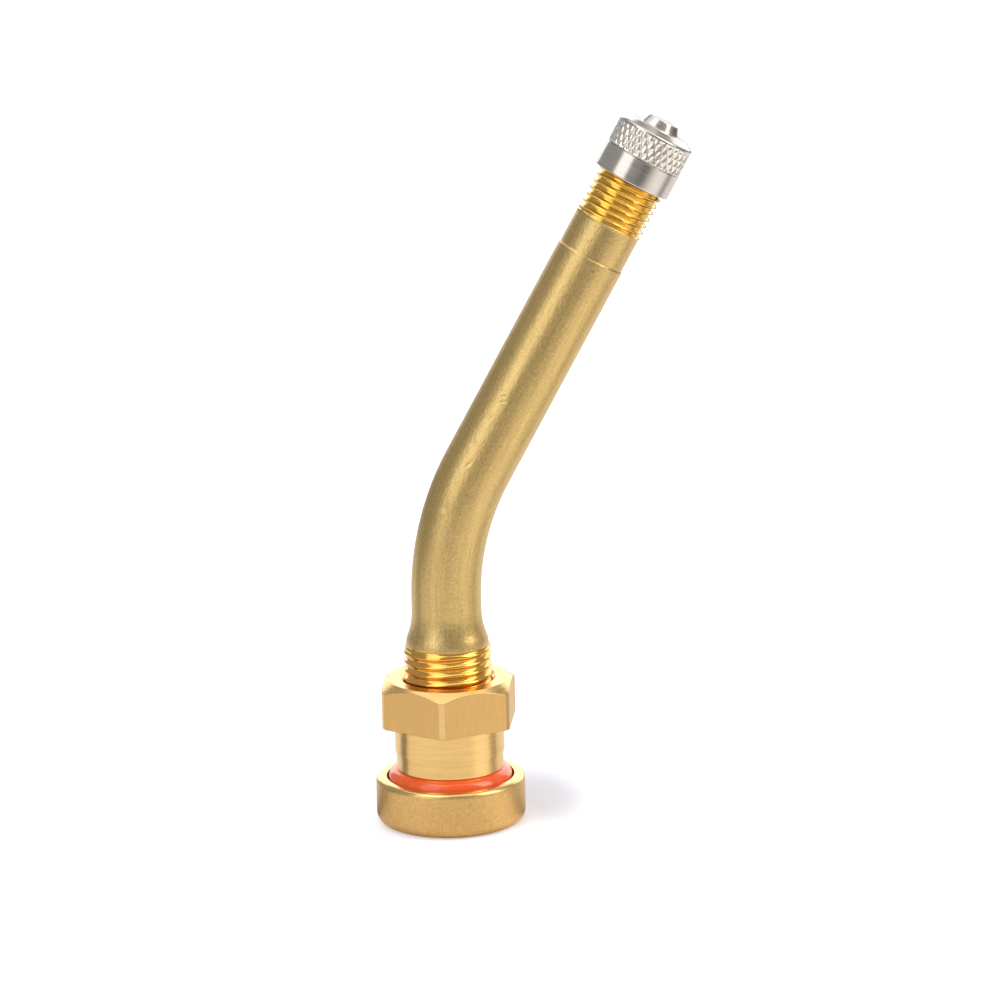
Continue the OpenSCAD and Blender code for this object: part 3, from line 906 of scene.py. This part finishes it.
# Floor, in metres, with its colours for the camera and for all other rays: a painted pool of light and
# painted reflection sectors that metals mirror, and a painted shadow beside the base

FLOOR_HALF = 4.0
FLOOR_ROUGHNESS = 0.6
FLOOR_SPECULAR = 0.1
FLOOR_SEEN = (0.785, 0.795, 0.872)
# painted pool of light: the floor's colour near the object for all rays but the camera's, which metals mirror
FLOOR_PAINTED_POOL = (0.785, 0.785, 0.785)
# painted shade: the floor's darker colour further off, which metals mirror
FLOOR_PAINTED_DARK = (0.085, 0.075, 0.065)
PAINTED_POOL_START = 0.22
PAINTED_POOL_END = 0.36
# sectors painted darker or lighter, which metals mirror as painted dark and bright reflections: heading,
# outer and inner half width in degrees, and tone
PAINTED_REFLECTION_SECTORS = ((-4, 13, 7, 0.43), (154, 13, 7, 0.2), (-38, 22, 8, 1.22))
FLOOR_GLOW = 0.4
MIRRORED_SHARE = 0.29
# painted shadow: the floor's glow fades out round this spot beside the base, squeezed in depth
PAINTED_SHADOW_SPOT = (0.0112, 0.006, 0)
PAINTED_SHADOW_SQUEEZE = (1, 0.45, 1)
PAINTED_SHADOW_CORE = 0.0015
PAINTED_SHADOW_END = 0.0085


def painted_pool_colour(add, join, spot):
    """The floor's colour for all but the camera: a painted pool of light, painted dark further off, with
    sectors painted darker or lighter, which metals mirror as painted reflections.
    """
    middle = add("ShaderNodeVectorMath", operation="LENGTH")
    join(spot, middle.inputs[0])
    places = (0.0, PAINTED_POOL_START, PAINTED_POOL_END)
    colour = ramp(add, join, middle.outputs["Value"], places, (FLOOR_PAINTED_POOL, FLOOR_PAINTED_POOL, FLOOR_PAINTED_DARK))
    towards = add("ShaderNodeVectorMath", operation="NORMALIZE")
    join(spot, towards.inputs[0])
    for heading, outer, inner, tone in PAINTED_REFLECTION_SECTORS:
        turn = math.radians(heading)
        share = add("ShaderNodeVectorMath", operation="DOT_PRODUCT")
        share.inputs[1].default_value = (math.cos(turn), math.sin(turn), 0)
        join(towards.outputs["Vector"], share.inputs[0])
        level = add("ShaderNodeMapRange")
        level.inputs["From Min"].default_value = math.cos(math.radians(outer))
        level.inputs["From Max"].default_value = math.cos(math.radians(inner))
        level.inputs["To Min"].default_value = 1
        level.inputs["To Max"].default_value = tone
        join(share.outputs["Value"], level.inputs["Value"])
        shade = add("ShaderNodeVectorMath", operation="SCALE")
        join(colour, shade.inputs[0])
        join(level.outputs["Result"], shade.inputs["Scale"])
        colour = shade.outputs["Vector"]
    return colour


def glow_and_painted_shadow(add, join, spot, rays):
    """Strength of the floor's glow, which mirrors and glass see in part and which fades out beside the base
    into a painted shadow.
    """
    offset = add("ShaderNodeVectorMath", operation="SUBTRACT")
    offset.inputs[1].default_value = PAINTED_SHADOW_SPOT
    join(spot, offset.inputs[0])
    squeezed = add("ShaderNodeVectorMath", operation="MULTIPLY")
    squeezed.inputs[1].default_value = PAINTED_SHADOW_SQUEEZE
    join(offset.outputs["Vector"], squeezed.inputs[0])
    from_painted_shadow = add("ShaderNodeVectorMath", operation="LENGTH")
    join(squeezed.outputs["Vector"], from_painted_shadow.inputs[0])
    fade = add("ShaderNodeMapRange", interpolation_type="SMOOTHSTEP")
    fade.inputs["From Min"].default_value = PAINTED_SHADOW_CORE
    fade.inputs["From Max"].default_value = PAINTED_SHADOW_END
    fade.inputs["To Max"].default_value = FLOOR_GLOW
    join(from_painted_shadow.outputs["Value"], fade.inputs["Value"])
    mirrored = add("ShaderNodeMath", operation="MAXIMUM")
    join(rays.outputs["Is Glossy Ray"], mirrored.inputs[0])
    join(rays.outputs["Is Transmission Ray"], mirrored.inputs[1])
    seen = add("ShaderNodeMath", operation="MULTIPLY_ADD")
    seen.inputs[1].default_value = MIRRORED_SHARE
    join(mirrored.outputs["Value"], seen.inputs[0])
    join(rays.outputs["Is Camera Ray"], seen.inputs[2])
    glow = add("ShaderNodeMath", operation="MULTIPLY")
    join(seen.outputs["Value"], glow.inputs[0])
    join(fade.outputs["Result"], glow.inputs[1])
    return glow.outputs["Value"]


def floor_white():
    """The floor's material: a white sweep to the camera, which keeps the object's shadow and adds a painted
    shadow beside the base where the glow fades.
    """
    material, shader, add, join = new_material("floor_white")
    shader.inputs["Roughness"].default_value = FLOOR_ROUGHNESS
    shader.inputs["Specular IOR Level"].default_value = FLOOR_SPECULAR
    shader.inputs["Emission Color"].default_value = (1, 1, 1, 1)
    spot = add("ShaderNodeTexCoord").outputs["Object"]
    rays = add("ShaderNodeLightPath")
    sweep = add("ShaderNodeMixRGB", Color2=(*FLOOR_SEEN, 1))
    join(rays.outputs["Is Camera Ray"], sweep.inputs["Fac"])
    join(painted_pool_colour(add, join, spot), sweep.inputs["Color1"])
    join(sweep.outputs["Color"], shader.inputs["Base Color"])
    join(glow_and_painted_shadow(add, join, spot, rays), shader.inputs["Emission Strength"])
    return material


floor_mesh = bpy.data.meshes.new("floor")
floor_mesh.from_pydata([
    (-FLOOR_HALF, -FLOOR_HALF, 0),
    (FLOOR_HALF, -FLOOR_HALF, 0),
    (FLOOR_HALF, FLOOR_HALF, 0),
    (-FLOOR_HALF, FLOOR_HALF, 0),
], [], [(0, 1, 2, 3)])
floor_mesh.materials.append(floor_white())
floor = bpy.data.objects.new("floor", floor_mesh)
bpy.context.scene.collection.objects.link(floor)


# Camera, fitted to the photograph: the base's centre sits at this pixel of a 1000-pixel frame

FRAME_PX = 1000
BASE_PX = (451.65, 818.6)
SCALE_PX = 9.064 / MM
DISTANCE = 0.8
AZIMUTH = math.radians(-11.68)
PITCH = math.radians(14.85)
ROLL = math.radians(-1.27)
SENSOR = 36
CLIP_END = 20

right = Vector((math.cos(AZIMUTH), math.sin(AZIMUTH), 0))
ahead = Vector((-math.sin(AZIMUTH) * math.cos(PITCH), math.cos(AZIMUTH) * math.cos(PITCH), -math.sin(PITCH)))
above = right.cross(ahead)
across = right * math.cos(ROLL) + above * math.sin(ROLL)
upward = above * math.cos(ROLL) - right * math.sin(ROLL)
focal_px = SCALE_PX * DISTANCE
half = FRAME_PX / 2
ray = Vector(((BASE_PX[0] - half) / focal_px, (half - BASE_PX[1]) / focal_px, 1)).normalized() * DISTANCE
place = -(across * ray.x + upward * ray.y + ahead * ray.z)

camera_data = bpy.data.cameras.new("camera")
camera_data.sensor_width = SENSOR
camera_data.sensor_fit = "HORIZONTAL"
camera_data.lens = focal_px / FRAME_PX * SENSOR
camera_data.clip_end = CLIP_END
camera = bpy.data.objects.new("camera", camera_data)
camera.matrix_world = Matrix((
    (across.x, upward.x, -ahead.x, place.x),
    (across.y, upward.y, -ahead.y, place.y),
    (across.z, upward.z, -ahead.z, place.z),
    (0, 0, 0, 1),
))
bpy.context.scene.collection.objects.link(camera)
bpy.context.scene.camera = camera


# Light

AIM = Vector((10, 0, 40)) * MM
WARM = (1, 0.91, 0.79)
WHITE = (1, 1, 1)
WORLD_COLOUR = (0.96, 0.97, 1.0, 1)
WORLD_STRENGTH = 0.4


def panel(name, azimuth, elevation, distance, width, height, watts, colour=WHITE):
    """A soft panel light, by its direction from the object. Azimuth counts from the camera to the right."""
    data = bpy.data.lights.new(name, "AREA")
    data.shape = "RECTANGLE"
    data.size = width
    data.size_y = height
    data.energy = watts
    data.color = colour
    light = bpy.data.objects.new(name, data)
    turn = math.radians(azimuth)
    rise = math.radians(elevation)
    to_camera = -Vector((ahead.x, ahead.y, 0)).normalized()
    out = to_camera * math.cos(turn) + right * math.sin(turn)
    light.location = AIM + (out * math.cos(rise) + Vector((0, 0, 1)) * math.sin(rise)) * distance
    light.rotation_euler = (AIM - light.location).to_track_quat("-Z", "Y").to_euler()
    bpy.context.scene.collection.objects.link(light)


panel("key", azimuth=-43, elevation=37, distance=0.8, width=0.5, height=1.1, watts=2.3)
panel("side", azimuth=75, elevation=36, distance=0.8, width=0.34, height=0.6, watts=2.8, colour=WARM)
panel("overhead", azimuth=180, elevation=85, distance=1.0, width=1.2, height=1.2, watts=4.0)
panel("back", azimuth=172, elevation=17, distance=1.2, width=1.8, height=0.85, watts=6.6)

world = bpy.data.worlds.new("studio")
bpy.context.scene.world = world
world.use_nodes = True
world.node_tree.nodes["Background"].inputs["Color"].default_value = WORLD_COLOUR
world.node_tree.nodes["Background"].inputs["Strength"].default_value = WORLD_STRENGTH
bpy.context.scene.view_settings.view_transform = "Standard"
